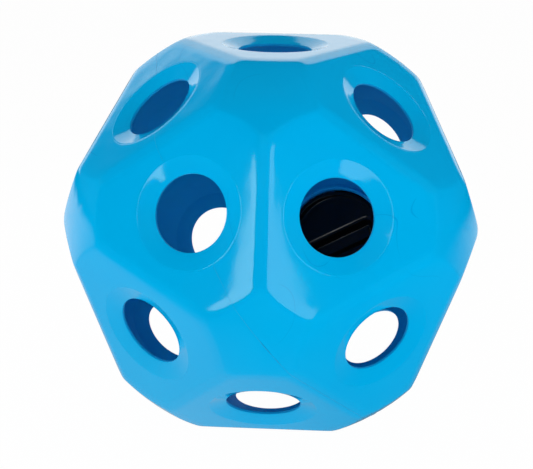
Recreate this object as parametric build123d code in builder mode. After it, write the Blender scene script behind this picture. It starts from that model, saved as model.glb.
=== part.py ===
from build123d import *
from itertools import combinations, product
from math import atan2, cos, degrees, isclose, radians, sqrt, tan
import os

# Ball, in millimetres
ball_diameter = 400.0
flat_depth = 21.0
bevel_width = 10.0
wall = 4.0

# Dished treat holes
hole_diameter = 66.0
dish_diameter = 98.0
dish_depth = 5.5

# Filler neck, turned inwards from its face
neck_depth = 12.0
neck_wall = 4.0
neck_round = 3.0
seat_width = 6.5

# Thread between the neck and the lid: short ridges, one for each start
thread_starts = 3
thread_lead = 21.0
thread_arc = 50.0
thread_height = 1.2
thread_root_width = 2.4
thread_crest_width = 1.2
thread_clearance = 0.5
thread_flank_gap = 0.4
thread_bite = 0.6
thread_end_margin = 1.6

# Seal ring under the lid's rim
gasket_thickness = 1.5
gasket_edge = 0.5
gasket_play = 0.1

# Screw lid
rim_margin = 0.5
rim_thickness = 3.5
rim_width = 8.0
rim_round = 1.2
lid_wall = 3.0
plate_recess = 2.5
skirt_depth = 9.0
skirt_wall = 4.0

# Grip bar across the lid, hollow underneath
grip_length = 89.0
grip_width = 28.0
grip_corner = 9.6
grip_height = 10.0
grip_taper = 32.5
grip_round = 2.0
grip_angle = -32.0

# The ball stands on one of its flat faces, with its reference point in the middle of that face
ball_radius = ball_diameter / 2
face_distance = ball_radius - flat_depth
centre = Vector(0, 0, face_distance)

# Twenty face axes of an icosahedron, tipped about X until one of them points straight down
golden = (1 + sqrt(5)) / 2
tip_angle = degrees(atan2(golden, 1 / golden))
signs = (1, -1)
corner_axes = [Vector(x, y, z) for x, y, z in product(signs, repeat=3)]
ring_axes = [
    axis
    for a, b in product(signs, repeat=2)
    for axis in (
        Vector(a / golden, 0, b * golden),
        Vector(0, b * golden, a / golden),
        Vector(b * golden, a / golden, 0),
    )
]
face_axes = [axis.normalized().rotate(Axis.X, tip_angle) for axis in corner_axes + ring_axes]

# Neighbouring faces stand at the least angle between two face axes, and a bevel runs along each edge
fold_angle = min(a.get_angle(b) for a, b in combinations(face_axes, 2))
half_fold = radians(fold_angle / 2)
edge_axes = [
    (a + b).normalized()
    for a, b in combinations(face_axes, 2)
    if round(a.get_angle(b)) == round(fold_angle)
]
bevel_distance = face_distance / cos(half_fold) - bevel_width / 2 * tan(half_fold)
flat_radius = face_distance * tan(half_fold) - bevel_width / 2 / cos(half_fold)

# The filler lid takes the face at the back, and every other face has a treat hole
lid_axis = Vector(1 / golden, 0, -golden).normalized().rotate(Axis.X, tip_angle)
hole_axes = [axis for axis in face_axes if axis.get_angle(lid_axis) > fold_angle / 2]
outer_faces = [Plane(centre + axis * face_distance, z_dir=-axis) for axis in hole_axes]
inner_faces = [Plane(centre + axis * (face_distance - wall), z_dir=-axis) for axis in hole_axes]
from_face = (Align.CENTER, Align.CENTER, Align.MIN)

# The dish is a cone, and inside the ball the wall follows it as a shallow bump
hole_radius = hole_diameter / 2
dish_radius = dish_diameter / 2
dish_slope = atan2(dish_depth, dish_radius - hole_radius)
bump_radius = dish_radius + wall * (1 / cos(dish_slope) - 1) / tan(dish_slope)
bump_height = (bump_radius - hole_radius) * tan(dish_slope)

# Radii of the lid and its neck, from the flat face inwards
rim_radius = flat_radius - rim_margin
neck_bore_radius = rim_radius - seat_width
skirt_radius = neck_bore_radius - thread_clearance - thread_height
skirt_bore_radius = skirt_radius - skirt_wall

# Heights of the lid, measured outwards from its face
rim_bottom = gasket_thickness + gasket_play
rim_top = rim_bottom + rim_thickness
plate_top = rim_top - plate_recess
plate_bottom = plate_top - lid_wall
lid_thread_start = thread_end_margin - skirt_depth
ridge_slope = (thread_root_width - thread_crest_width) / 2 / thread_height
ridge_spacing = thread_root_width - ridge_slope * (thread_height + thread_clearance) + thread_flank_gap
neck_thread_start = lid_thread_start + ridge_spacing
thread_rise = thread_lead * thread_arc / 360

# Lid frame: X lies along the grip bar, Z points out of the ball
level = lid_axis.cross(Vector(0, 0, 1)).normalized()
lid_spin = Axis(centre + lid_axis * face_distance, lid_axis)
lid_plane = Plane(
    origin=lid_spin.position,
    x_dir=level.rotate(Axis((0, 0, 0), lid_axis), grip_angle),
    z_dir=lid_axis,
)
lid_section = Plane(origin=lid_plane.origin, x_dir=lid_plane.x_dir, z_dir=-lid_plane.y_dir)


def thread_ridges(start_height, root_radius, crest_radius):
    """Make the helical ridges of one side of the thread, rooted a little into their wall."""
    towards_crest = 1 if crest_radius > root_radius else -1
    buried_radius = root_radius - towards_crest * thread_bite
    buried_width = thread_root_width + 2 * ridge_slope * thread_bite
    foot = lid_plane.origin + lid_axis * start_height
    with BuildPart() as ridges:
        for start in range(thread_starts):
            turn = 360 * start / thread_starts
            with BuildLine() as path:
                Helix(thread_lead, thread_rise, root_radius, center=foot, direction=lid_axis)
            line = path.line.rotate(lid_spin, turn)
            outward = (line @ 0 - foot).normalized()
            with BuildSketch(Plane(foot, x_dir=outward, z_dir=lid_axis.cross(outward))) as profile:
                with BuildLine():
                    Polyline(
                        (buried_radius, -buried_width / 2),
                        (crest_radius, -thread_crest_width / 2),
                        (crest_radius, thread_crest_width / 2),
                        (buried_radius, buried_width / 2),
                        close=True,
                    )
                make_face()
            sweep(profile.sketch, path=line, is_frenet=True)
    return ridges.part


neck_thread = thread_ridges(neck_thread_start, neck_bore_radius, neck_bore_radius - thread_height)
lid_thread = thread_ridges(lid_thread_start, skirt_radius, skirt_radius + thread_height)

# Hollow of the ball: the same facets, one wall further in
with BuildPart() as hollow:
    with Locations(centre):
        Sphere(ball_radius - wall)
    for axis in face_axes:
        split(bisect_by=Plane(centre + axis * (face_distance - wall), z_dir=axis), keep=Keep.BOTTOM)
    for axis in edge_axes:
        split(bisect_by=Plane(centre + axis * (bevel_distance - wall), z_dir=axis), keep=Keep.BOTTOM)

# Ball shell: a sphere cut by flat faces and bevels, with dished holes and the threaded neck
with BuildPart() as shell:
    with Locations(centre):
        Sphere(ball_radius)
    for axis in face_axes:
        split(bisect_by=Plane(centre + axis * face_distance, z_dir=axis), keep=Keep.BOTTOM)
    for axis in edge_axes:
        split(bisect_by=Plane(centre + axis * bevel_distance, z_dir=axis), keep=Keep.BOTTOM)
    add(hollow.part, mode=Mode.SUBTRACT)
    with Locations(*inner_faces):
        Cone(bump_radius, hole_radius, bump_height, align=from_face)
    with Locations(*outer_faces):
        Cone(dish_radius, hole_radius, dish_depth, align=from_face, mode=Mode.SUBTRACT)
        Cylinder(hole_radius, wall + bump_height, align=from_face, mode=Mode.SUBTRACT)
    with BuildSketch(lid_plane):
        Circle(neck_bore_radius + neck_wall)
    extrude(amount=-neck_depth)
    with BuildSketch(lid_plane):
        Circle(neck_bore_radius)
    extrude(amount=-neck_depth, mode=Mode.SUBTRACT)
    bore_edges = shell.edges().filter_by(GeomType.CIRCLE).filter_by(
        lambda edge: isclose(edge.radius, neck_bore_radius)
    )
    fillet(bore_edges.sort_by(lid_spin)[0], radius=neck_round)
    add(neck_thread)

# Seal ring, seated on the face around the neck
with BuildPart() as gasket:
    with BuildSketch(lid_plane):
        Circle(rim_radius - gasket_edge)
        Circle(neck_bore_radius + gasket_edge, mode=Mode.SUBTRACT)
    extrude(amount=gasket_thickness)

# Screw lid: rim, recessed plate and skirt turned about one axis, then the hollow grip bar and the thread
with BuildPart() as lid:
    with BuildSketch(lid_section):
        with BuildLine():
            Polyline(
                (0, plate_bottom),
                (skirt_bore_radius, plate_bottom),
                (skirt_bore_radius, -skirt_depth),
                (skirt_radius, -skirt_depth),
                (skirt_radius, rim_bottom),
                (rim_radius, rim_bottom),
                (rim_radius, rim_top),
                (rim_radius - rim_width, rim_top),
                (rim_radius - rim_width, plate_top),
                (0, plate_top),
                close=True,
            )
        make_face()
    revolve(axis=lid_spin)
    rim_edges = lid.edges().filter_by(GeomType.CIRCLE).group_by(SortBy.RADIUS)[-1]
    fillet(rim_edges.sort_by(lid_spin)[-1], radius=rim_round)
    with BuildSketch(lid_plane.offset(plate_top)):
        RectangleRounded(grip_length, grip_width, grip_corner)
    extrude(amount=grip_height, taper=grip_taper)
    fillet(lid.faces().sort_by(lid_spin)[-1].edges(), radius=grip_round)
    grip_shift = lid_wall / cos(radians(grip_taper)) - lid_wall * tan(radians(grip_taper))
    with BuildSketch(lid_plane.offset(plate_bottom)):
        RectangleRounded(
            grip_length - 2 * grip_shift, grip_width - 2 * grip_shift, grip_corner - grip_shift
        )
    extrude(amount=grip_height, taper=grip_taper, mode=Mode.SUBTRACT)
    add(lid_thread)

# One file for each piece
os.makedirs("parts", exist_ok=True)
shell.part.label = "ball_shell"
export_step(shell.part, "parts/ball_shell.step")
gasket.part.label = "lid_gasket"
export_step(gasket.part, "parts/lid_gasket.step")
lid.part.label = "filler_lid"
export_step(lid.part, "parts/filler_lid.step")
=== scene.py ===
"""Looks of a treat dispensing ball: a glossy blue faceted shell, its black screw lid and a seal ring."""

import logging
from dataclasses import dataclass, field
from enum import Enum
from itertools import product

import bmesh
import bpy
import numpy as np
from mathutils import Matrix, Vector


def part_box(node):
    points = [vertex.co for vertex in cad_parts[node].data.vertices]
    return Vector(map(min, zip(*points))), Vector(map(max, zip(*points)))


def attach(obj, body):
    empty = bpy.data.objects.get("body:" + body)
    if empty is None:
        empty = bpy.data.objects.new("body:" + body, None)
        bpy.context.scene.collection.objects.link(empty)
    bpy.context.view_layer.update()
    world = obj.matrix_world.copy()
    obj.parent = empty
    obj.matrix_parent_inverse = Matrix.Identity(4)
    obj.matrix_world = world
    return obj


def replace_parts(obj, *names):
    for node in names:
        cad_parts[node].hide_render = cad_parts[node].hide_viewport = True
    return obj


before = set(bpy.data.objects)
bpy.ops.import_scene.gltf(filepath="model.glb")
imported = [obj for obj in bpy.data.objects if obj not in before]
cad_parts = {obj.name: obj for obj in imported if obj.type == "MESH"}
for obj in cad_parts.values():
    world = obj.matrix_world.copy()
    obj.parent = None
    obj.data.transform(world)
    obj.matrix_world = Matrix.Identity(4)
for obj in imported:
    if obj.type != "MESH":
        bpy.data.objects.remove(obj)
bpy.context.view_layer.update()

MM = 0.001
FULL_TURN = 2 * np.pi
FACE_SIDES = 3
WELD_DISTANCE = 0.002 * MM
PATTERN_RANGE = (0.3, 0.7)  # values of a noise that are stretched to a finish's two limits
Colour = tuple[float, float, float]
Socket = bpy.types.NodeSocket
log = logging.getLogger("treat_ball")


class Node(str, Enum):
    """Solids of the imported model."""

    SHELL = "ball_shell"
    LID = "filler_lid"
    SEAL = "lid_gasket"


class Body(str, Enum):
    """Bodies that the pieces ride on."""

    SHELL = "shell"
    LID = "lid"
    SEAL = "seal"


class Slot(str, Enum):
    """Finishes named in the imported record."""

    SHELL = "shell_plastic"
    LID = "lid_plastic"
    SEAL = "seal_rubber"


class ThreadSide(Enum):
    """Which way the ridges of a thread stand from the wall that carries them."""

    OUTWARD = 1
    INWARD = -1


class Sum(str, Enum):
    """Arithmetic on the values of node patterns."""

    ABSOLUTE = "ABSOLUTE"
    LARGER = "MAXIMUM"
    LESS = "SUBTRACT"
    TIMES = "MULTIPLY"


class VectorSum(str, Enum):
    """Arithmetic on positions and directions."""

    DOT = "DOT_PRODUCT"
    LENGTH = "LENGTH"
    LESS = "SUBTRACT"
    TIMES = "MULTIPLY"


def unit(vector: np.ndarray) -> np.ndarray:
    """Scale a vector to length one."""
    return vector / np.linalg.norm(vector)


def smooth_max(a: np.ndarray, b: np.ndarray, blend: float) -> np.ndarray:
    """Take the larger of two signed distances, rounded over where they differ by less than the blend."""
    nearness = np.maximum(blend - np.abs(a - b), 0) / blend
    return np.maximum(a, b) + nearness**3 * blend / 6


def round_corner(before: np.ndarray, corner: np.ndarray, after: np.ndarray, radius: float,
                 steps: int = 4) -> list[np.ndarray]:
    """Round one corner of a profile with an arc.

    Args:
        before: Profile point ahead of the corner.
        corner: The sharp corner.
        after: Profile point behind the corner.
        radius: Radius of the arc.
        steps: Number of straight pieces that make up the arc.

    Returns:
        The points of the arc, from the first tangent point to the last.
    """
    back = unit(before - corner)
    ahead = unit(after - corner)
    half = np.arccos(np.clip(back @ ahead, -1, 1)) / 2
    middle = corner + unit(back + ahead) * radius / np.sin(half)
    start = corner + back * radius / np.tan(half) - middle
    stop = corner + ahead * radius / np.tan(half) - middle
    sweep = np.pi - 2 * half
    shares = np.linspace(0, 1, steps + 1)
    return [
        middle + (np.sin((1 - t) * sweep) * start + np.sin(t * sweep) * stop) / np.sin(sweep)
        for t in shares
    ]


def rounded_profile(corners: list[tuple[float, float, float]]) -> np.ndarray:
    """Round the inner corners of a profile.

    Args:
        corners: Radius, height and rounding of each corner; the two ends stay as they are.

    Returns:
        An array of radius and height, one row for each point.
    """
    flat = [np.array(corner[:2]) for corner in corners]
    points = [flat[0]]
    for i in range(1, len(corners) - 1):
        if corners[i][2] > 0:
            points += round_corner(flat[i - 1], flat[i], flat[i + 1], corners[i][2])
        else:
            points.append(flat[i])
    return np.array(points + [flat[-1]])


@dataclass
class LoopSkin:
    """Collects closed loops of points and skins each stack of loops with quads."""

    points: list[np.ndarray] = field(default_factory=list)
    faces: list[tuple[int, ...]] = field(default_factory=list)
    count: int = 0

    def add_points(self, points: np.ndarray) -> int:
        """Add points that no face uses yet.

        Args:
            points: The points, one row each.

        Returns:
            The index of the first one.
        """
        self.points.append(points)
        self.count += len(points)
        return self.count - len(points)

    def add_stack(self, loops: list[np.ndarray]) -> list[int]:
        """Skin neighbouring loops of one stack.

        Args:
            loops: Closed loops with the same number of points, in order.

        Returns:
            The index of each loop's first point.
        """
        starts = [self.add_points(loop) for loop in loops]
        size = len(loops[0])
        for low, high in zip(starts, starts[1:]):
            for j in range(size):
                k = (j + 1) % size
                self.faces.append((low + j, high + j, high + k, low + k))
        return starts

    def cap_ends(self, starts: list[int], size: int) -> None:
        """Close both ends of a stack of loops of one size, each end with one face."""
        self.faces.append(tuple(starts[0] + i for i in range(size)))
        self.faces.append(tuple(starts[-1] + i for i in reversed(range(size))))

    def fill(self, start: int, size: int, facing_up: bool) -> None:
        """Close a loop that is symmetric about its X axis with a ladder of quads.

        Args:
            start: Index of the loop's first point, which lies on the axis.
            size: Number of points in the loop.
            facing_up: Whether the face looks along the loop's own axis.
        """
        for j in range(size // 2):
            rung = [j, j + 1, (size - j - 1) % size, (size - j) % size]
            corners = list(dict.fromkeys(start + i for i in rung))
            self.faces.append(tuple(corners if facing_up else reversed(corners)))

    def build(self, name: str) -> bpy.types.Object:
        """Make a smooth-shaded object of the collected faces.

        Args:
            name: Name of the piece.

        Returns:
            The object, linked to the scene.
        """
        mesh = bpy.data.meshes.new(name)
        mesh.from_pydata(np.concatenate(self.points).tolist(), [], self.faces)
        shape = bmesh.new()
        shape.from_mesh(mesh)
        bmesh.ops.remove_doubles(shape, verts=shape.verts, dist=WELD_DISTANCE)
        bmesh.ops.recalc_face_normals(shape, faces=shape.faces)
        for face in shape.faces:
            face.smooth = True
        shape.to_mesh(mesh)
        shape.free()
        piece = bpy.data.objects.new(name, mesh)
        bpy.context.scene.collection.objects.link(piece)
        return piece


@dataclass(frozen=True)
class BallLayout:
    """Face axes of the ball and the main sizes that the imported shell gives."""

    centre: np.ndarray
    dome_radius: float
    face_distance: float
    face_axes: np.ndarray
    lid_axis: np.ndarray
    half_fold: float

    @classmethod
    def from_frame(cls) -> "BallLayout":
        """Read the ball's height and depth from the frame and set out its twenty face axes.

        Returns:
            The layout in the frame's own axes.
        """
        low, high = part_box(Node.SHELL.value)
        face_distance = (high.z - low.z) / 2
        golden = (1 + np.sqrt(5)) / 2
        signs = (1, -1)
        corners = [np.array(c, float) for c in product(signs, repeat=3)]
        rings = [
            axis
            for a, b in product(signs, repeat=2)
            for axis in (
                np.array([a / golden, 0, b * golden]),
                np.array([0, b * golden, a / golden]),
                np.array([b * golden, a / golden, 0]),
            )
        ]
        tip = np.arctan2(golden, 1 / golden)
        turn = np.array(Matrix.Rotation(tip, 3, "X"))
        axes = np.array([turn @ unit(axis) for axis in corners + rings])
        lid_axis = turn @ unit(np.array([1 / golden, 0, -golden]))
        fold = np.arccos(np.sort(axes @ axes[0])[-2])
        return cls(
            centre=np.array([0, 0, low.z + face_distance]),
            dome_radius=(high.y - low.y) / 2,
            face_distance=face_distance,
            face_axes=axes,
            lid_axis=lid_axis,
            half_fold=fold / 2,
        )

    def face_frame(self, axis: np.ndarray) -> np.ndarray:
        """Set out a face's own axes.

        Args:
            axis: The face's axis.

        Returns:
            Three rows: X towards a neighbouring face, Y, and Z out of the ball.
        """
        nearness = self.face_axes @ axis
        neighbour = self.face_axes[np.argsort(nearness)[-2]]
        across = unit(neighbour - axis * (neighbour @ axis))
        return np.array([across, np.cross(axis, across), axis])

    def is_lid_face(self, axis: np.ndarray) -> bool:
        """Tell whether a face carries the filler lid."""
        return bool(axis @ self.lid_axis > np.cos(self.half_fold))


@dataclass(frozen=True)
class FacetSurface:
    """One side of the ball's wall: flat faces, bevels and domes with rounded creases."""

    face_distance: float
    bevel_distance: float
    dome_radius: float
    half_fold: float
    edge_blend: float
    dome_blend: float
    droop: float = 0.0
    droop_width: float = 7.5 * MM
    droop_blend: float = 0.2 * MM
    lift_steps: int = 24

    def dome_edge(self) -> float:
        """Radius of the circle where a flat face would run into the dome."""
        return np.sqrt(self.dome_radius**2 - self.face_distance**2)

    def crease(self, offset: np.ndarray) -> np.ndarray:
        """Radius at which the flat face ends.

        Args:
            offset: Angle from the middle of the nearest edge.

        Returns:
            Distance from the face's axis to the bevel or to the dome, whichever is nearer.
        """
        rise = self.bevel_distance - self.face_distance * np.cos(self.half_fold)
        to_bevel = rise / np.sin(self.half_fold) / np.cos(offset)
        return np.minimum(to_bevel, self.dome_edge())

    def border(self, offset: np.ndarray) -> np.ndarray:
        """Radius, on the face's plane, of the line halfway to the neighbouring face."""
        return self.face_distance * np.tan(self.half_fold) / np.cos(offset)

    def excess(self, points: np.ndarray) -> np.ndarray:
        """How far points of one face's sector lie outside the rounded surface.

        Args:
            points: Points in the face's own frame, from the ball's centre.

        Returns:
            Signed distances, negative inside.
        """
        flat = points[:, 2] - self.face_distance
        if self.droop > 0:
            reach = np.hypot(points[:, 0], points[:, 1]) - self.dome_edge() + self.droop_width
            cone = flat * np.cos(self.droop) + reach * np.sin(self.droop)
            flat = smooth_max(flat, cone, self.droop_blend)
        for middle in np.arange(FACE_SIDES) * FULL_TURN / FACE_SIDES:
            spread = np.sin(self.half_fold)
            axis = np.array([spread * np.cos(middle), spread * np.sin(middle), np.cos(self.half_fold)])
            flat = smooth_max(flat, points @ axis - self.bevel_distance, self.edge_blend)
        dome = np.linalg.norm(points, axis=1) - self.dome_radius
        return smooth_max(flat, dome, self.dome_blend)

    def lift(self, radius: np.ndarray, angle: np.ndarray) -> np.ndarray:
        """Carry points of a face's plane straight out from the centre onto the surface.

        Args:
            radius: Distance from the face's axis, on the face's plane.
            angle: Angle about the face's axis.

        Returns:
            Points in the face's own frame, from the ball's centre.
        """
        height = np.full_like(radius, self.face_distance)
        plane = np.stack([radius * np.cos(angle), radius * np.sin(angle), height], 1)
        ray = plane / np.linalg.norm(plane, axis=1)[:, None]
        reach = np.full(len(ray), self.dome_radius)
        for _ in range(self.lift_steps):
            reach -= self.excess(ray * reach[:, None])
        return ray * reach[:, None]


@dataclass
class NodeKit:
    """Short ways to add nodes to a material or to the world."""

    tree: bpy.types.NodeTree

    def add(self, kind: str) -> bpy.types.Node:
        """Add one node."""
        return self.tree.nodes.new(kind)

    def feed(self, target: Socket, source: Socket | float | tuple[float, ...]) -> None:
        """Fill an input.

        Args:
            target: Input to fill.
            source: Output to join it to, or the number, colour or direction to set.
        """
        if isinstance(source, Socket):
            self.tree.links.new(source, target)
        else:
            target.default_value = source

    def calc(self, operation: Sum, *terms: Socket | float) -> Socket:
        """Combine values.

        Args:
            operation: What to do with them.
            terms: The values or numbers, in order.

        Returns:
            The result.
        """
        node = self.add("ShaderNodeMath")
        node.operation = operation.value
        for target, term in zip(node.inputs, terms):
            self.feed(target, term)
        return node.outputs["Value"]

    def vector(self, operation: VectorSum, *terms: Socket | tuple[float, float, float]) -> Socket:
        """Combine positions or directions.

        Args:
            operation: What to do with them.
            terms: The positions or directions, in order.

        Returns:
            The result, a single value for a length or a dot product.
        """
        node = self.add("ShaderNodeVectorMath")
        node.operation = operation.value
        for target, term in zip(node.inputs, terms):
            self.feed(target, term)
        single = operation in (VectorSum.DOT, VectorSum.LENGTH)
        return node.outputs["Value" if single else "Vector"]

    def remap(self, value: Socket, result: tuple[Socket | float, Socket | float],
              source: tuple[float, float] = (0, 1), smooth: bool = False) -> Socket:
        """Carry a range of values over to another range.

        Args:
            value: Value to read.
            result: What the two ends of the range become.
            source: The value's own range.
            smooth: Whether the change eases in and out.

        Returns:
            The carried value.
        """
        node = self.add("ShaderNodeMapRange")
        node.interpolation_type = "SMOOTHSTEP" if smooth else "LINEAR"
        names = ("Value", "From Min", "From Max", "To Min", "To Max")
        for name, term in zip(names, (value, *source, *result)):
            self.feed(node.inputs[name], term)
        return node.outputs["Result"]


@dataclass
class FinishKit(NodeKit):
    """Nodes of one finish, with patterns that are measured in metres on the piece itself."""

    material: bpy.types.Material
    shader: bpy.types.Node
    place: Socket
    mix_inputs: tuple[int, int, int] = (0, 6, 7)
    mix_output: int = 2

    @classmethod
    def new(cls, name: str) -> "FinishKit":
        """Start a material.

        Args:
            name: Name of the material.
        """
        material = bpy.data.materials.new(name)
        material.use_nodes = True
        tree = material.node_tree
        place = tree.nodes.new("ShaderNodeTexCoord").outputs["Object"]
        return cls(tree, material, tree.nodes["Principled BSDF"], place)

    def give(self, name: str, source: Socket | float | tuple[float, ...]) -> None:
        """Fill one of the shader's own inputs."""
        self.feed(self.shader.inputs[name], source)

    def noise(self, size: float, detail: float) -> Socket:
        """Add a noise pattern.

        Args:
            size: Width of its features.
            detail: Octaves of finer noise.

        Returns:
            The pattern's value, about 0 to 1.
        """
        node = self.add("ShaderNodeTexNoise")
        self.feed(node.inputs["Scale"], 1 / size)
        self.feed(node.inputs["Detail"], detail)
        self.feed(node.inputs["Vector"], self.place)
        return node.outputs["Fac"]

    def cells(self, gap: float) -> Socket:
        """Measure the distance to the nearest of many scattered points, in units of their gap.

        Args:
            gap: Typical distance between the points.

        Returns:
            The distance.
        """
        node = self.add("ShaderNodeTexVoronoi")
        self.feed(node.inputs["Scale"], 1 / gap)
        self.feed(node.inputs["Vector"], self.place)
        return node.outputs["Distance"]

    def colours(self, value: Socket, low: Colour, high: Colour) -> Socket:
        """Turn a pattern into a blend of two colours.

        Args:
            value: Pattern to read.
            low: Colour where the pattern is weak.
            high: Colour where the pattern is strong.

        Returns:
            The blended colour.
        """
        node = self.add("ShaderNodeValToRGB")
        for stop, position, colour in zip(node.color_ramp.elements, PATTERN_RANGE, (low, high)):
            stop.position = position
            stop.color = (*colour, 1)
        self.feed(node.inputs["Fac"], value)
        return node.outputs["Color"]

    def spread(self, value: Socket, limits: tuple[float, float]) -> Socket:
        """Stretch a pattern to a range of values."""
        return self.remap(value, limits, PATTERN_RANGE)

    def tint(self, base: Socket, colour: Colour, share: Socket) -> Socket:
        """Blend a colour over another by a pattern.

        Args:
            base: Colour below.
            colour: Colour on top.
            share: Strength of the colour on top.

        Returns:
            The blended colour.
        """
        node = self.add("ShaderNodeMix")
        node.data_type = "RGBA"
        for index, source in zip(self.mix_inputs, (share, base, (*colour, 1))):
            self.feed(node.inputs[index], source)
        return node.outputs[self.mix_output]

    def bump(self, value: Socket, depth: float, below: Socket | None = None) -> Socket:
        """Raise the surface by a pattern.

        Args:
            value: Pattern to read as height.
            depth: Height of the pattern's full range.
            below: Normal of a coarser bump to build on.

        Returns:
            The bumped normal.
        """
        node = self.add("ShaderNodeBump")
        self.feed(node.inputs["Distance"], depth)
        self.feed(node.inputs["Height"], value)
        if below is not None:
            self.feed(node.inputs["Normal"], below)
        return node.outputs["Normal"]


@dataclass(frozen=True)
class MouldedPlastic:
    """Glossy moulded plastic with a fine orange peel, faint mottling, hairlines and specks."""

    name: str = "moulded_blue"
    colour: Colour = (0.0, 0.40, 0.765)
    deep_colour: Colour = (0.0, 0.385, 0.75)
    mark_colour: Colour = (0.0, 0.33, 0.69)
    gloss_tint: Colour = (0.62, 0.8, 0.6)
    roughness: tuple[float, float] = (0.05, 0.08)
    refraction: float = 1.45
    mottle_size: float = 60 * MM
    smear_size: float = 25 * MM
    peel_size: float = 2.2 * MM
    peel_depth: float = 0.025 * MM
    wave_size: float = 38 * MM
    wave_depth: float = 0.3 * MM
    hairline_size: float = 75 * MM
    hairline_level: float = 0.5
    hairline_edge: tuple[float, float] = (0.0012, 0.0032)
    break_size: float = 75 / 1.3 * MM
    break_edge: tuple[float, float] = (0.58, 0.66)
    speck_gap: float = 24 * MM
    speck_edge: tuple[float, float] = (0.02, 0.035)
    choice_size: float = 24 / 1.7 * MM
    choice_edge: tuple[float, float] = (0.58, 0.6)

    def hairlines(self, kit: FinishKit) -> Socket:
        """Draw a few broken hairlines along the level lines of a wide noise.

        Args:
            kit: Nodes of the finish.

        Returns:
            Strength of the lines, 0 between them.
        """
        height = kit.calc(Sum.LESS, kit.noise(self.hairline_size, detail=0), self.hairline_level)
        line = kit.remap(kit.calc(Sum.ABSOLUTE, height), (1, 0), self.hairline_edge, smooth=True)
        broken = kit.remap(kit.noise(self.break_size, detail=0), (0, 1), self.break_edge, smooth=True)
        return kit.calc(Sum.TIMES, line, broken)

    def specks(self, kit: FinishKit) -> Socket:
        """Scatter small specks.

        Args:
            kit: Nodes of the finish.

        Returns:
            Strength of the specks, 0 between them.
        """
        dot = kit.remap(kit.cells(self.speck_gap), (1, 0), self.speck_edge, smooth=True)
        chosen = kit.remap(kit.noise(self.choice_size, detail=0), (0, 1), self.choice_edge, smooth=True)
        return kit.calc(Sum.TIMES, dot, chosen)

    def material(self) -> bpy.types.Material:
        """Build the node material of the shell.

        Returns:
            The material.
        """
        kit = FinishKit.new(self.name)
        clean = kit.colours(kit.noise(self.mottle_size, detail=3), self.deep_colour, self.colour)
        marks = kit.calc(Sum.LARGER, self.hairlines(kit), self.specks(kit))
        kit.give("Base Color", kit.tint(clean, self.mark_colour, marks))
        kit.give("Roughness", kit.spread(kit.noise(self.smear_size, detail=4), self.roughness))
        wave = kit.bump(kit.noise(self.wave_size, detail=1), self.wave_depth)
        kit.give("Normal", kit.bump(kit.noise(self.peel_size, detail=2), self.peel_depth, wave))
        kit.give("IOR", self.refraction)
        kit.give("Specular Tint", (*self.gloss_tint, 1))
        return kit.material


@dataclass(frozen=True)
class SatinPlastic:
    """Black satin plastic with a fine moulded grain."""

    name: str = "satin_black"
    colour: Colour = (0.001, 0.001, 0.0012)
    worn_colour: Colour = (0.003, 0.003, 0.003)
    roughness: tuple[float, float] = (0.16, 0.24)
    refraction: float = 1.34
    wear_size: float = 18 * MM
    grain_size: float = 0.9 * MM
    grain_depth: float = 0.02 * MM

    def material(self) -> bpy.types.Material:
        """Build the node material of the lid.

        Returns:
            The material.
        """
        kit = FinishKit.new(self.name)
        wear = kit.noise(self.wear_size, detail=4)
        kit.give("Base Color", kit.colours(wear, self.colour, self.worn_colour))
        kit.give("Roughness", kit.spread(wear, self.roughness))
        kit.give("Normal", kit.bump(kit.noise(self.grain_size, detail=2), self.grain_depth))
        kit.give("IOR", self.refraction)
        return kit.material


@dataclass(frozen=True)
class SealRubber:
    """Matt black rubber with a dusty bloom."""

    name: str = "seal_rubber_black"
    colour: Colour = (0.012, 0.012, 0.012)
    bloom_colour: Colour = (0.03, 0.03, 0.032)
    roughness: tuple[float, float] = (0.6, 0.8)
    bloom_size: float = 9 * MM
    grain_size: float = 0.6 * MM
    grain_depth: float = 0.03 * MM

    def material(self) -> bpy.types.Material:
        """Build the node material of the seal ring.

        Returns:
            The material.
        """
        kit = FinishKit.new(self.name)
        bloom = kit.noise(self.bloom_size, detail=5)
        kit.give("Base Color", kit.colours(bloom, self.colour, self.bloom_colour))
        kit.give("Roughness", kit.spread(bloom, self.roughness))
        kit.give("Normal", kit.bump(kit.noise(self.grain_size, detail=3), self.grain_depth))
        return kit.material


def dress(piece: bpy.types.Object, material: bpy.types.Material, body: Body) -> None:
    """Give a piece its finish and seat it on its body.

    Args:
        piece: The object to finish.
        material: Its material.
        body: The body that it moves with.
    """
    piece.data.materials.append(material)
    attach(piece, body.value)
    log.info("%s: %d faces on %s", piece.name, len(piece.data.polygons), body.value)


@dataclass(frozen=True)
class LidPlace:
    """The lid's own axes: X along the grip bar, Z out of the ball, origin on the lid's face."""

    origin: np.ndarray
    axes: np.ndarray

    @classmethod
    def on_ball(cls, layout: BallLayout, grip_angle: float) -> "LidPlace":
        """Lay the lid's axes on its face.

        Args:
            layout: The ball's faces.
            grip_angle: Angle of the grip bar from level.

        Returns:
            The lid's place.
        """
        axis = layout.lid_axis
        level = unit(np.cross(axis, [0, 0, 1]))
        along = level * np.cos(grip_angle) + np.cross(axis, level) * np.sin(grip_angle)
        origin = layout.centre + axis * layout.face_distance
        return cls(origin, np.array([along, np.cross(axis, along), axis]))

    def from_polar(self, radius: np.ndarray, height: np.ndarray, angle: np.ndarray) -> np.ndarray:
        """Place points given by radius, height and angle about the lid's axis."""
        flat = np.broadcast_arrays(radius * np.cos(angle), radius * np.sin(angle), height)
        return self.origin + np.stack(flat, 1) @ self.axes

    def from_plane(self, outline: np.ndarray, height: float) -> np.ndarray:
        """Place an outline in the lid's plane at a height."""
        points = np.column_stack([outline, np.full(len(outline), height)])
        return self.origin + points @ self.axes


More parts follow.
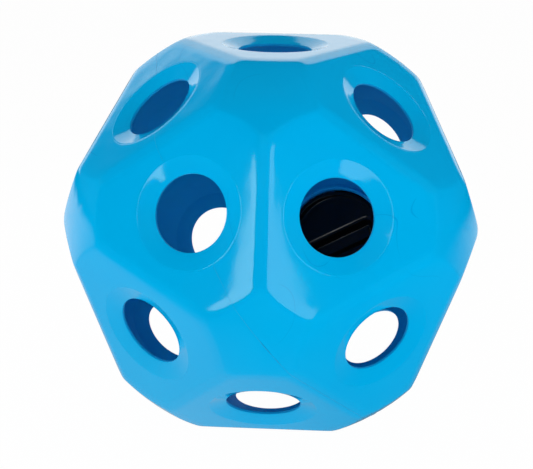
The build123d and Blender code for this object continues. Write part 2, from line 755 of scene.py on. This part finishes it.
@dataclass(frozen=True)
class ScrewThread:
    """Short ridges that hold the lid in its neck, one for each start."""

    starts: int = 3
    lead: float = 21 * MM
    arc: float = np.radians(50)
    height: float = 1.2 * MM
    root_width: float = 2.4 * MM
    crest_width: float = 1.2 * MM
    bite: float = 0.6 * MM
    softness: float = 0.3 * MM
    steps: int = 30
    run_out: float = 0.12

    def add_ridges(self, skin: LoopSkin, root_radius: float, side: ThreadSide, foot: float,
                   place: LidPlace) -> None:
        """Add the ridges to a piece.

        Args:
            skin: The piece's faces.
            root_radius: Radius of the wall that carries the ridges.
            side: Which way the ridges stand.
            foot: Height at which each ridge starts.
            place: The lid's place on the ball.
        """
        for start in range(self.starts):
            sections = []
            for share in np.linspace(0, 1, self.steps + 1):
                fade = min(1.0, share / self.run_out, (1 - share) / self.run_out)
                rise = foot + share * self.arc / FULL_TURN * self.lead
                angle = FULL_TURN * start / self.starts + share * self.arc
                reach, height = self.section(fade)
                radius = root_radius + side.value * reach
                sections.append(place.from_polar(radius, rise + height, angle))
            if side is ThreadSide.INWARD:
                sections.reverse()
            skin.cap_ends(skin.add_stack(sections), len(sections[0]))

    def section(self, fade: float) -> tuple[np.ndarray, np.ndarray]:
        """Trace one section of a ridge.

        Args:
            fade: Share of the ridge's full height, less than 1 near its ends.

        Returns:
            Each point's distance from the wall and its height from the middle of the ridge.
        """
        slope = (self.root_width - self.crest_width) / 2 / self.height
        crest = self.height * fade
        half_root = self.root_width / 2 + slope * self.bite
        half_crest = self.root_width / 2 - slope * crest
        soft = self.softness * fade
        reach = [-self.bite, crest - soft, crest, crest, crest - soft, -self.bite]
        height = [-half_root, -half_crest - soft * slope, -half_crest + soft, half_crest - soft,
                  half_crest + soft * slope, half_root]
        return np.array(reach), np.array(height)


@dataclass(frozen=True)
class BallShell:
    """The hollow moulded ball with its dished holes and its filler neck."""

    layout: BallLayout
    place: LidPlace
    thread: ScrewThread
    wall: float = 4 * MM
    bevel_width: float = 10 * MM
    hole_radius: float = 33 * MM
    dish_radius: float = 49 * MM
    dish_depth: float = 5.5 * MM
    dish_run: float = 5 * MM
    rim_round: float = 3 * MM
    rim_flat: float = 2.2 * MM
    witness_reach: tuple[float, float, float] = (0.8 * MM, 1.1 * MM, 1.4 * MM)
    witness_depth: float = 0.09 * MM
    trim: float = 0.7 * MM
    trim_zone: float = 2 * MM
    trim_wobble: float = 0.12 * MM
    wobble_waves: int = 6
    first_wave: int = 2
    lip_wall: float = 2.6 * MM
    lip_inner_round: float = 0.5 * MM
    lip_outer_round: float = 0.6 * MM
    bump_flat: float = 5 * MM
    bump_round: float = 5 * MM
    bump_run: float = 6 * MM
    neck_bore_radius: float = 56.02 * MM
    neck_wall: float = 4 * MM
    neck_depth: float = 12 * MM
    neck_round: float = 3 * MM
    neck_edge_round: float = 0.8 * MM
    neck_foot: float = 1.3 * MM
    neck_foot_round: float = 1.2 * MM
    neck_seat: float = 2 * MM
    neck_thread_foot: float = -5.45 * MM
    edge_blend: float = 1.7 * MM
    dome_blend: float = 1.6 * MM
    inner_blend: float = 3 * MM
    droop: float = np.radians(4)
    samples: int = 16
    fine_samples: int = 2001
    crowded_angle: float = np.radians(44)
    crowded_spread: float = np.radians(3.5)
    crowding: float = 4
    outer_rows: tuple[int, int] = (11, 5)
    inner_rows: tuple[int, int] = (5, 3)
    flat_rows: tuple[float, float] = (0.34, 0.67)
    crease_gap: float = 1 * MM
    crease_reach: tuple[float, float] = (11 * MM, 4.4 * MM)
    crease_share: tuple[float, float] = (0.6, 0.62)
    row_gap: float = 0.1 * MM
    seed: int = 7

    def surfaces(self) -> tuple[FacetSurface, FacetSurface]:
        """Set out both sides of the wall.

        Returns:
            The outer and the inner side.
        """
        fold = self.layout.half_fold
        face = self.layout.face_distance
        bevel = face / np.cos(fold) - self.bevel_width / 2 * np.tan(fold)
        dome = self.layout.dome_radius
        outer = FacetSurface(face, bevel, dome, fold, self.edge_blend, self.dome_blend, self.droop)
        inner = FacetSurface(face - self.wall, bevel - self.wall, dome - self.wall, fold,
                             self.inner_blend, self.inner_blend)
        return outer, inner

    def offsets(self) -> np.ndarray:
        """Spread angles over half an edge's sector, closest where bevel, face and dome meet.

        Returns:
            Angles from the middle of an edge to the middle of a dome.
        """
        fine = np.linspace(0, np.pi / FACE_SIDES, self.fine_samples)
        distance = (fine - self.crowded_angle) / self.crowded_spread
        density = 1 + self.crowding * np.exp(-(distance**2))
        share = np.cumsum(density) - density[0]
        return np.interp(np.linspace(0, 1, self.samples), share / share[-1], fine)

    def angles(self) -> tuple[np.ndarray, np.ndarray]:
        """Set out the points of every loop.

        Returns:
            Their angles about the face's axis, and their angles from the middle of the nearest edge.
        """
        half = self.offsets()
        sector = np.concatenate([-half[:0:-1], half[:-1]])
        offset = np.tile(sector, FACE_SIDES)
        middles = np.arange(FACE_SIDES) * FULL_TURN / FACE_SIDES
        angle = offset + np.repeat(middles, len(sector))
        return angle, offset

    def hole_profile(self) -> np.ndarray:
        """Trace a dished hole from the inner wall, round its thinned and trimmed lip, to the flat outside.

        Returns:
            Radius and height above the face for each loop.
        """
        slope = np.arctan2(self.dish_depth, self.dish_radius - self.hole_radius)
        fall = np.tan(slope)
        bump_radius = self.dish_radius + self.wall * (1 / np.cos(slope) - 1) / fall
        rim = self.dish_radius
        edge = self.hole_radius + self.trim
        edge_depth = self.dish_depth - self.trim * fall
        witness_in, witness_middle, witness_out = self.witness_reach
        corners = [
            (bump_radius + self.bump_flat, -self.wall, 0),
            (bump_radius, -self.wall, self.bump_round),
            (bump_radius - self.bump_run, -self.wall - self.bump_run * fall, 0),
            (edge, -edge_depth - self.lip_wall, self.lip_inner_round),
            (edge, -edge_depth, self.lip_outer_round),
            (edge + self.dish_run, self.dish_run * fall - edge_depth, 0),
            (rim - self.dish_run, -self.dish_run * fall, 0),
            (rim, 0, self.rim_round),
            (rim + witness_in, 0, 0),
            (rim + witness_middle, -self.witness_depth, 0),
            (rim + witness_out, 0, 0),
            (rim + self.rim_flat, 0, 0),
        ]
        return rounded_profile(corners)

    def neck_profile(self) -> np.ndarray:
        """Trace the filler neck from the inner wall, round its end, to the flat outside.

        Returns:
            Radius and height above the lid's face for each loop.
        """
        outside = self.neck_bore_radius + self.neck_wall
        corners = [
            (outside + self.neck_foot, -self.wall, 0),
            (outside, -self.wall, self.neck_foot_round),
            (outside, -self.neck_depth, self.neck_edge_round),
            (self.neck_bore_radius, -self.neck_depth, self.neck_round),
            (self.neck_bore_radius, 0, self.neck_edge_round),
            (self.neck_bore_radius + self.neck_seat, 0, 0),
        ]
        return rounded_profile(corners)

    def skirt_rows(self, surface: FacetSurface, start: float, angle: np.ndarray,
                   offset: np.ndarray, counts: tuple[int, int]) -> list[np.ndarray]:
        """Lay loops from a circle on the flat, over the crease, to the border with the next faces.

        Args:
            surface: Side of the wall to follow.
            start: Radius of the last circular loop.
            angle: Angle of each point about the face's axis.
            offset: Angle of each point from the nearest edge.
            counts: Number of loops across the crease, and from there to the border.

        Returns:
            Loops in the face's own frame, from the ball's centre.
        """
        over_crease, to_border = counts
        crease = np.maximum(surface.crease(offset), start + self.crease_gap)
        border = surface.border(offset)
        before = np.minimum(self.crease_reach[0], self.crease_share[0] * (crease - start))
        after = np.minimum(self.crease_reach[1], self.crease_share[1] * (border - crease))
        rows = [start + (crease - before - start) * t for t in self.flat_rows]
        rows += [crease + (before if t < 0 else after) * t for t in np.linspace(-1, 1, over_crease)]
        shares = np.arange(1, to_border + 1) / to_border
        rows += [crease + after + (border - crease - after) * t for t in shares]
        return [surface.lift(np.maximum(row, start + self.row_gap), angle) for row in rows]

    def face_loops(self, axis: np.ndarray, wobble: np.ndarray) -> list[np.ndarray]:
        """Make one face's stack of loops, from its inner border round to its outer border.

        Args:
            axis: The face's axis.
            wobble: Unevenness of the trimmed edge at each angle.

        Returns:
            Loops in the frame's own axes.
        """
        outer, inner = self.surfaces()
        angle, offset = self.angles()
        lid_face = self.layout.is_lid_face(axis)
        profile = self.neck_profile() if lid_face else self.hole_profile()
        rows = list(reversed(self.skirt_rows(inner, profile[0][0], angle, offset, self.inner_rows)))
        for radius, height in profile:
            trimmed = not lid_face and radius <= self.hole_radius + self.trim_zone
            reach = radius + trimmed * wobble
            level = np.full(len(angle), outer.face_distance + height)
            rows.append(np.stack([reach * np.cos(angle), reach * np.sin(angle), level], 1))
        rows += self.skirt_rows(outer, profile[-1][0], angle, offset, self.outer_rows)
        axes = self.layout.face_frame(axis)
        return [self.layout.centre + row @ axes for row in rows]

    def build(self, material: bpy.types.Material, inside: bpy.types.Material) -> bpy.types.Object:
        """Skin all twenty faces, weld them and add the neck's thread.

        Args:
            material: The shell's finish.
            inside: Darker, duller copy of the finish for the surfaces that look into the ball; its darker
                blue is painted shade.

        Returns:
            The finished shell.
        """
        skin = LoopSkin()
        dice = np.random.default_rng(self.seed)
        angle, _ = self.angles()
        for axis in self.layout.face_axes:
            phases = dice.uniform(0, FULL_TURN, self.wobble_waves)
            waves = [np.sin(i * angle + phase) / i for i, phase in enumerate(phases, self.first_wave)]
            skin.add_stack(self.face_loops(axis, self.trim_wobble * np.sum(waves, 0)))
        foot = self.neck_thread_foot
        self.thread.add_ridges(skin, self.neck_bore_radius, ThreadSide.INWARD, foot, self.place)
        piece = skin.build("moulded_shell")
        dress(piece, material, Body.SHELL)
        piece.data.materials.append(inside)
        centre = Vector(self.layout.centre)
        # Faces that look into the ball take the darker copy, whose lower colour is painted shade of the dim
        # interior.
        for face in piece.data.polygons:
            face.material_index = int(face.normal.dot(face.center - centre) < 0)
        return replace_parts(piece, Node.SHELL.value)


@dataclass(frozen=True)
class PartingLine:
    """Fine ridge left where the halves of the mould met, broken at the dished holes and the lid."""

    layout: BallLayout
    surface: FacetSurface
    plane: tuple[float, float, float] = (0.809, -0.110, 0.577)
    half_width: float = 0.4 * MM
    height: float = 0.14 * MM
    root: float = 0.15 * MM
    hole_clear: float = 50.6 * MM
    lid_clear: float = 63.2 * MM
    steps: int = 1800

    def trace(self) -> tuple[np.ndarray, np.ndarray]:
        """Follow the mould's plane once round the ball.

        Returns:
            Points on the surface, and whether each one is clear of the holes and the lid.
        """
        across = unit(np.array(self.plane))
        first = unit(np.cross(across, [0, 0, 1]))
        turn = np.linspace(0, FULL_TURN, self.steps, endpoint=False)
        rays = np.outer(np.cos(turn), first) + np.outer(np.sin(turn), np.cross(across, first))
        nearest = np.argmax(rays @ self.layout.face_axes.T, axis=1)
        points = np.zeros_like(rays)
        clear = np.zeros(self.steps, bool)
        for index in np.unique(nearest):
            axis = self.layout.face_axes[index]
            axes = self.layout.face_frame(axis)
            mine = nearest == index
            local = rays[mine] @ axes.T
            radius = self.surface.face_distance * np.hypot(local[:, 0], local[:, 1]) / local[:, 2]
            lifted = self.surface.lift(radius, np.arctan2(local[:, 1], local[:, 0]))
            points[mine] = self.layout.centre + lifted @ axes
            clear[mine] = radius > (self.lid_clear if self.layout.is_lid_face(axis) else self.hole_clear)
        return points, clear

    def build(self, material: bpy.types.Material) -> bpy.types.Object:
        """Sweep the ridge's section along every clear run.

        Args:
            material: The ridge's finish, a darker blue that is painted shade along the ridge.

        Returns:
            The finished ridge.
        """
        points, clear = self.trace()
        starts = np.flatnonzero(clear & ~np.roll(clear, 1))
        side = unit(np.array(self.plane)) * self.half_width
        skin = LoopSkin()
        for start in starts:
            length = int(np.argmin(np.roll(clear, -start)))
            run = np.roll(points, -start, axis=0)[:length]
            sections = []
            for point in run:
                out = unit(point - self.layout.centre)
                foot = point - out * self.root
                sections.append(np.array([foot - side, point + out * self.height, foot + side]))
            skin.cap_ends(skin.add_stack(sections), len(sections[0]))
        piece = skin.build("parting_line")
        dress(piece, material, Body.SHELL)
        return piece


@dataclass(frozen=True)
class FillerLid:
    """The screw lid: grip bar, recessed plate, rim and skirt."""

    place: LidPlace
    thread: ScrewThread
    rim_radius: float = 62.52 * MM
    rim_bottom: float = 1.6 * MM
    rim_thickness: float = 3.5 * MM
    rim_width: float = 8 * MM
    rim_round: float = 1.2 * MM
    rim_under_round: float = 0.5 * MM
    plate_recess: float = 2.5 * MM
    plate_thickness: float = 3 * MM
    plate_flat: float = 3 * MM
    recess_round: float = 0.8 * MM
    skirt_radius: float = 54.32 * MM
    skirt_wall: float = 4 * MM
    skirt_depth: float = 9 * MM
    skirt_round: float = 0.8 * MM
    bore_round: float = 1.5 * MM
    bore_flat: float = 4 * MM
    grip_length: float = 89 * MM
    grip_width: float = 28 * MM
    grip_corner: float = 9.6 * MM
    least_corner: float = 0.4 * MM
    grip_height: float = 10 * MM
    grip_taper: float = np.radians(32.5)
    grip_round: float = 2 * MM
    grip_flat: float = 4 * MM
    grip_foot_round: float = 1.2 * MM
    hollow_mouth_round: float = 5 * MM
    hollow_top_round: float = 1 * MM
    hollow_top_flat: float = 3 * MM
    thread_foot: float = -7.4 * MM
    samples: int = 168
    end_steps: int = 8
    bend_steps: int = 16

    def bar_outline(self, inset: float) -> np.ndarray:
        """Trace the grip bar's rounded rectangle, drawn in by an inset.

        Args:
            inset: Distance that the outline is drawn in.

        Returns:
            Points of the outline in the lid's plane, from the middle of the bar's end.
        """
        half_length = self.grip_length / 2 - inset
        half_width = self.grip_width / 2 - inset
        corner = max(self.grip_corner - inset, self.least_corner)
        side_steps = self.samples // 4 - self.end_steps - self.bend_steps
        bend = np.linspace(0, np.pi / 2, self.bend_steps + 1)
        end_x = np.full(self.end_steps, half_length)
        end_y = np.linspace(0, half_width - corner, self.end_steps, endpoint=False)
        bend_x = half_length - corner * (1 - np.cos(bend))
        bend_y = half_width - corner * (1 - np.sin(bend))
        side_x = np.linspace(half_length - corner, 0, side_steps + 1)[1:]
        side_y = np.full(side_steps, half_width)
        x = np.concatenate([end_x, bend_x, side_x])
        y = np.concatenate([end_y, bend_y, side_y])
        quarter = np.column_stack([x, y])
        back = quarter[::-1]
        flips = [quarter, back * (-1, 1), -quarter, back * (1, -1)]
        return np.concatenate([part[:-1] for part in flips])

    def bar_loops(self, profile: np.ndarray) -> list[np.ndarray]:
        """Carry the bar's outline along a profile of inset and height."""
        return [self.place.from_plane(self.bar_outline(inset), height) for inset, height in profile]

    def turned_loops(self, profile: np.ndarray) -> list[np.ndarray]:
        """Turn a profile of radius and height about the lid's axis."""
        angle = np.linspace(0, FULL_TURN, self.samples, endpoint=False)
        return [self.place.from_polar(radius, height, angle) for radius, height in profile]

    def build(self, material: bpy.types.Material) -> bpy.types.Object:
        """Skin the lid in one stack, from the bar's top round to the hollow under the bar.

        Args:
            material: The lid's finish.

        Returns:
            The finished lid.
        """
        rim_top = self.rim_bottom + self.rim_thickness
        plate_top = rim_top - self.plate_recess
        plate_bottom = plate_top - self.plate_thickness
        lean = self.grip_height * np.tan(self.grip_taper)
        shift = self.plate_thickness * (1 / np.cos(self.grip_taper) - np.tan(self.grip_taper))
        bar_top = plate_top + self.grip_height
        hollow_top = plate_bottom + self.grip_height
        skirt_bore = self.skirt_radius - self.skirt_wall
        recess_radius = self.rim_radius - self.rim_width
        bar = rounded_profile([
            (lean + self.grip_flat, bar_top, 0),
            (lean, bar_top, self.grip_round),
            (0, plate_top, self.grip_foot_round),
            (-self.plate_flat, plate_top, 0),
        ])
        turned = rounded_profile([
            (recess_radius - self.plate_flat, plate_top, 0),
            (recess_radius, plate_top, self.recess_round),
            (recess_radius, rim_top, self.recess_round),
            (self.rim_radius, rim_top, self.rim_round),
            (self.rim_radius, self.rim_bottom, self.rim_under_round),
            (self.skirt_radius, self.rim_bottom, self.rim_under_round),
            (self.skirt_radius, -self.skirt_depth, self.skirt_round),
            (skirt_bore, -self.skirt_depth, self.skirt_round),
            (skirt_bore, plate_bottom, self.bore_round),
            (skirt_bore - self.bore_flat, plate_bottom, 0),
        ])
        hollow = rounded_profile([
            (shift - self.bore_flat, plate_bottom, 0),
            (shift, plate_bottom, self.hollow_mouth_round),
            (shift + lean, hollow_top, self.hollow_top_round),
            (shift + lean + self.hollow_top_flat, hollow_top, 0),
        ])
        skin = LoopSkin()
        loops = self.bar_loops(bar) + self.turned_loops(turned) + self.bar_loops(hollow)
        starts = skin.add_stack(loops)
        skin.fill(starts[0], self.samples, facing_up=True)
        skin.fill(starts[-1], self.samples, facing_up=False)
        self.thread.add_ridges(skin, self.skirt_radius, ThreadSide.OUTWARD, self.thread_foot, self.place)
        piece = skin.build("screw_lid")
        dress(piece, material, Body.LID)
        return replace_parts(piece, Node.LID.value)


@dataclass(frozen=True)
class SealRing:
    """The soft ring under the lid's rim."""

    place: LidPlace
    inner_radius: float = 56.52 * MM
    outer_radius: float = 62.02 * MM
    thickness: float = 1.5 * MM
    rounding: float = 0.5 * MM
    samples: int = 168

    def build(self, material: bpy.types.Material) -> bpy.types.Object:
        """Turn the ring's rounded section about the lid's axis.

        Args:
            material: The ring's finish.

        Returns:
            The finished ring.
        """
        middle = (self.inner_radius + self.outer_radius) / 2
        section = rounded_profile([
            (middle, self.thickness, 0),
            (self.outer_radius, self.thickness, self.rounding),
            (self.outer_radius, 0, self.rounding),
            (self.inner_radius, 0, self.rounding),
            (self.inner_radius, self.thickness, self.rounding),
            (middle, self.thickness, 0),
        ])
        angle = np.linspace(0, FULL_TURN, self.samples, endpoint=False)
        skin = LoopSkin()
        skin.add_stack([self.place.from_polar(radius, height, angle) for radius, height in section])
        piece = skin.build("seal_ring")
        dress(piece, material, Body.SEAL)
        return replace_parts(piece, Node.SEAL.value)


def bearing_vector(bearing: float, elevation: float) -> Vector:
    """Direction from the ball, with bearing 0 towards the viewer, 90 to the right, in degrees."""
    around, up = np.radians([bearing, elevation])
    return Vector((np.sin(around) * np.cos(up), -np.cos(around) * np.cos(up), np.sin(up)))


def flat_card(name: str, corners: list[tuple[float, float, float]],
              material: bpy.types.Material) -> bpy.types.Object:
    """Make a flat card for the studio.

    Args:
        name: Name of the card.
        corners: Its four corners, in order.
        material: Its finish.

    Returns:
        The card, linked to the scene.
    """
    mesh = bpy.data.meshes.new(name)
    mesh.from_pydata(corners, [], [range(len(corners))])
    mesh.materials.append(material)
    card = bpy.data.objects.new(name, mesh)
    bpy.context.scene.collection.objects.link(card)
    return card


@dataclass(frozen=True)
class SoftBox:
    """One soft studio lamp, placed round the ball by its bearing and turned to face it."""

    name: str
    bearing: float
    elevation: float
    distance: float
    width: float
    height: float
    radiance: float
    lean: float = 0
    mirrored: bool = True

    def build(self, target: np.ndarray) -> bpy.types.Object:
        """Hang the lamp and turn it to the ball.

        Args:
            target: Point that the lamp faces.

        Returns:
            The lamp.
        """
        lamp = bpy.data.lights.new(self.name, "AREA")
        lamp.shape = "RECTANGLE"
        lamp.size = self.width
        lamp.size_y = self.height
        lamp.energy = self.radiance * np.pi * self.width * self.height
        holder = bpy.data.objects.new(self.name, lamp)
        back = bearing_vector(self.bearing, self.elevation)
        holder.location = Vector(target) + back * self.distance
        upright = (-back).to_track_quat("-Z", "Y").to_matrix()
        holder.rotation_euler = (upright @ Matrix.Rotation(np.radians(self.lean), 3, "Z")).to_euler()
        holder.visible_camera = False
        holder.visible_glossy = self.mirrored
        bpy.context.scene.collection.objects.link(holder)
        return holder


@dataclass(frozen=True)
class BlackFlag:
    """A black card that keeps the lamps' mirror images off faces that would catch them edge-on."""

    name: str
    near_edge: tuple[float, float]
    far_edge: tuple[float, float]
    span: tuple[float, float] = (0.04, 0.62)

    def build(self, material: bpy.types.Material) -> None:
        """Stand the card upright between its two edges, where only the gloss sees it.

        Args:
            material: The card's finish.
        """
        low, high = self.span
        corners = [
            (*self.near_edge, low),
            (*self.far_edge, low),
            (*self.far_edge, high),
            (*self.near_edge, high),
        ]
        card = flat_card(self.name, corners, material)
        card.visible_camera = False
        card.visible_diffuse = False
        card.visible_shadow = False


@dataclass(frozen=True)
class FloorPool:
    """A pool of light on the floor, as the ball's gloss mirrors it."""

    centre: tuple[float, float, float]
    squeeze: float
    radius: tuple[float, float]
    glow: float

    def glow_at(self, kit: NodeKit, place: Socket) -> Socket:
        """Add the nodes of the pool, full inside its inner radius and gone at its outer one.

        Args:
            kit: Nodes of the floor's material.
            place: Position on the floor.

        Returns:
            The pool's glow at that position.
        """
        offset = kit.vector(VectorSum.LESS, place, self.centre)
        narrow = kit.vector(VectorSum.TIMES, offset, (self.squeeze, 1, 1))
        reach = kit.vector(VectorSum.LENGTH, narrow)
        return kit.remap(reach, (self.glow, 0), self.radius, smooth=True)


@dataclass(frozen=True)
class Studio:
    """White floor and backdrop, a dim room and soft lamps."""

    target: np.ndarray
    lid: bpy.types.Object
    floor_size: float = 12.0
    floor_colour: Colour = (0.88, 0.88, 0.88)
    floor_share: float = 0.97
    floor_share_seen: float = 0.985
    floor_bounce: float = 1.22
    pools: tuple[FloorPool, ...] = (
        FloorPool(centre=(-0.45, 1, 0), squeeze=0.55, radius=(0.6, 1.25), glow=0.95),
        FloorPool(centre=(-0.26, 0, 0), squeeze=1, radius=(0.12, 0.5), glow=0.48),
    )
    back_axis: tuple[float, float, float] = (-0.05, 1, 0)
    back_edge: tuple[float, float] = (0.732, 0.756)
    backdrop: float = 1.3
    room: float = 0.02
    lamps: tuple[SoftBox, ...] = (
        SoftBox("left_box", bearing=-30.6, elevation=15.6, distance=0.676,
                width=0.152, height=0.26, radiance=5.0),
        SoftBox("right_box", bearing=27.2, elevation=12.5, distance=0.667,
                width=0.148, height=0.462, radiance=2.6, lean=10),
        SoftBox("left_fill", bearing=-100, elevation=15, distance=1.1,
                width=0.8, height=0.6, radiance=4.0, mirrored=False),
        SoftBox("right_fill", bearing=80, elevation=25, distance=1.1,
                width=0.8, height=0.6, radiance=2.5, mirrored=False),
        SoftBox("front_fill", bearing=5, elevation=40, distance=1.1,
                width=0.9, height=0.7, radiance=1.6, mirrored=False),
        SoftBox("top_fill", bearing=180, elevation=70, distance=1.2,
                width=1.4, height=1.2, radiance=0.85, mirrored=False),
    )
    lid_glint: SoftBox = SoftBox("lid_glint", bearing=-32.6, elevation=-5.1, distance=0.656,
                                 width=0.22, height=0.18, radiance=9.0)
    flags: tuple[BlackFlag, ...] = (
        BlackFlag("left_flag", near_edge=(-0.155, -0.25), far_edge=(-0.5, -0.25), span=(0.17, 0.62)),
        BlackFlag("right_flag", near_edge=(0.185, -0.25), far_edge=(0.5, -0.25)),
        BlackFlag("middle_flag", near_edge=(0.003, -0.206), far_edge=(0.003, -0.66)),
        BlackFlag("top_flag", near_edge=(-0.2, -0.25), far_edge=(0.2, -0.25), span=(0.36, 0.9)),
    )

    def floor_finish(self) -> bpy.types.Material:
        """Build the floor's finish, nearly white to the camera, with pools of light for the gloss.

        Returns:
            The material.
        """
        material = bpy.data.materials.new("floor_white")
        material.use_nodes = True
        material.node_tree.nodes.clear()
        kit = NodeKit(material.node_tree)
        ray = kit.add("ShaderNodeLightPath").outputs
        seen = ray["Is Camera Ray"]
        mirrored = ray["Is Glossy Ray"]
        place = kit.add("ShaderNodeTexCoord").outputs["Object"]
        pooled = kit.calc(Sum.LARGER, *(pool.glow_at(kit, place) for pool in self.pools))
        plain = kit.remap(seen, (self.floor_bounce, 1))
        share = kit.remap(seen, (self.floor_share, self.floor_share_seen))
        paint = kit.add("ShaderNodeBsdfDiffuse")
        kit.feed(paint.inputs["Color"], (*self.floor_colour, 1))
        glow = kit.add("ShaderNodeEmission")
        kit.feed(glow.inputs["Strength"], kit.remap(mirrored, (plain, pooled)))
        mix = kit.add("ShaderNodeMixShader")
        layers = (kit.calc(Sum.LARGER, share, mirrored), paint.outputs["BSDF"], glow.outputs["Emission"])
        for target, layer in zip(mix.inputs, layers):
            kit.feed(target, layer)
        kit.feed(kit.add("ShaderNodeOutputMaterial").inputs["Surface"], mix.outputs["Shader"])
        return material

    def lay_floor(self) -> None:
        """Lay a pale lit floor that keeps the ball's shadow and mirrors its pools of light in the gloss."""
        half = self.floor_size / 2
        corners = [(-half, -half, 0), (half, -half, 0), (half, half, 0), (-half, half, 0)]
        floor = flat_card("floor", corners, self.floor_finish())

    def wrap_world(self) -> None:
        """Put a round white backdrop behind the ball in a dim room, and white behind all for the camera."""
        world = bpy.data.worlds.new("studio")
        bpy.context.scene.world = world
        world.use_nodes = True
        kit = NodeKit(world.node_tree)
        sky = world.node_tree.nodes["Background"]
        heading = kit.add("ShaderNodeTexCoord").outputs["Generated"]
        behind = kit.vector(VectorSum.DOT, heading, self.back_axis)
        around = kit.remap(behind, (self.room, self.backdrop), self.back_edge, smooth=True)
        seen = kit.add("ShaderNodeLightPath").outputs["Is Camera Ray"]
        kit.feed(sky.inputs["Strength"], kit.remap(seen, (around, 1)))
        kit.feed(sky.inputs["Color"], (1, 1, 1, 1))

    def hang_lamps(self) -> None:
        """Hang the lamps, one of them for the lid alone."""
        for lamp in self.lamps:
            lamp.build(self.target)
        lit = bpy.data.collections.new("lit_by_lid_glint")
        lit.objects.link(self.lid)
        self.lid_glint.build(self.target).light_linking.receiver_collection = lit

    def stand_flags(self) -> None:
        """Stand the black cards, which share one dull finish."""
        black = bpy.data.materials.new("flag_black")
        black.use_nodes = True
        shader = black.node_tree.nodes["Principled BSDF"]
        shader.inputs["Base Color"].default_value = (0, 0, 0, 1)
        shader.inputs["Specular IOR Level"].default_value = 0
        for flag in self.flags:
            flag.build(black)

    def build(self) -> None:
        """Set up the floor, the surround, the lamps and the cards."""
        bpy.context.scene.view_settings.view_transform = "Standard"
        self.lay_floor()
        self.wrap_world()
        self.hang_lamps()
        self.stand_flags()


@dataclass(frozen=True)
class PhotoCamera:
    """Camera at the photograph's viewing angle."""

    azimuth: float = 3.08
    elevation: float = 16.98
    roll: float = 0.825
    distance: float = 1333.7 * MM
    aim: tuple[float, float, float] = (-5.5 * MM, -1.7 * MM, 174.3 * MM)
    lens: float = 93.94
    sensor: float = 36.0

    def build(self) -> bpy.types.Object:
        """Place the camera and make it the scene's own.

        Returns:
            The camera.
        """
        data = bpy.data.cameras.new("photo_camera")
        data.sensor_width = self.sensor
        data.lens = self.lens
        camera = bpy.data.objects.new("photo_camera", data)
        back = bearing_vector(self.azimuth, self.elevation)
        camera.location = Vector(self.aim) + back * self.distance
        level = (-back).to_track_quat("-Z", "Y").to_matrix()
        turn = Matrix.Rotation(np.radians(self.roll), 3, "Z")
        camera.rotation_euler = (level @ turn).to_euler()
        bpy.context.scene.collection.objects.link(camera)
        bpy.context.scene.camera = camera
        return camera


def main() -> None:
    """Build every piece in order, then the studio and the camera."""
    logging.basicConfig(level=logging.INFO, format="%(name)s: %(message)s")
    layout = BallLayout.from_frame()
    thread = ScrewThread()
    place = LidPlace.on_ball(layout, grip_angle=np.radians(-32))
    shell = BallShell(layout, place, thread)
    blue = MouldedPlastic().material()
    # Darker copy of the blue for the inner walls: its lower colour is painted shade of the dim interior.
    inside = MouldedPlastic(
        name="moulded_blue_inside_painted_shade",
        colour=(0, 0.33, 0.71),
        deep_colour=(0, 0.315, 0.695),
        gloss_tint=(0.35, 0.7, 0.6),
        roughness=(0.38, 0.52),
    )
    shell.build(blue, inside.material())
    # Darker blue for the parting line: painted shade along its fine ridge.
    seam = MouldedPlastic(
        name="moulded_blue_seam_painted_shade",
        colour=(0, 0.34, 0.68),
        deep_colour=(0, 0.31, 0.62),
        roughness=(0.3, 0.45),
    )
    outer, _ = shell.surfaces()
    PartingLine(layout, outer).build(seam.material())
    lid = FillerLid(place, thread).build(SatinPlastic().material())
    SealRing(place).build(SealRubber().material())
    Studio(layout.centre, lid).build()
    PhotoCamera().build()


if __name__ == "__main__":
    main()
